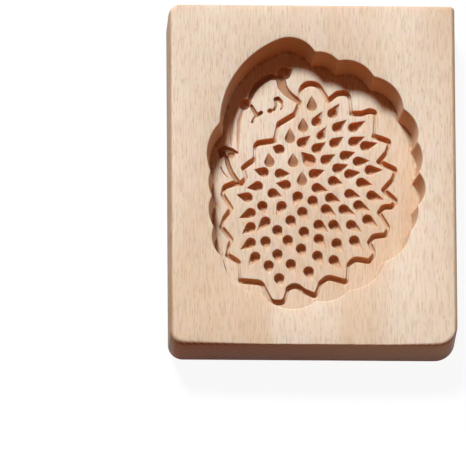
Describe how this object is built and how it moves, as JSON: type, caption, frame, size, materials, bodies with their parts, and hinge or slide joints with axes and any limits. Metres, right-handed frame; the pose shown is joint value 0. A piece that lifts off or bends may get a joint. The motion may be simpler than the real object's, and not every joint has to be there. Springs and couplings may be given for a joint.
{
  "type": "carved wooden cookie mould",
  "caption": "Beech block with a scalloped hollow whose floor is carved as a hedgehog, for pressing cookie dough into shape.",
  "frame": {"origin": "middle of the flat underside of the block", "axes": "+X across the grain to the hedgehog's back, +Y along the grain to its head, +Z out of the carved face"},
  "size_m": [0.097, 0.12, 0.019],
  "materials": {
    "beech": "sanded, unvarnished"
  },
  "bodies": {
    "root": {"mould_block": "beech"}
  },
  "joints": []
}
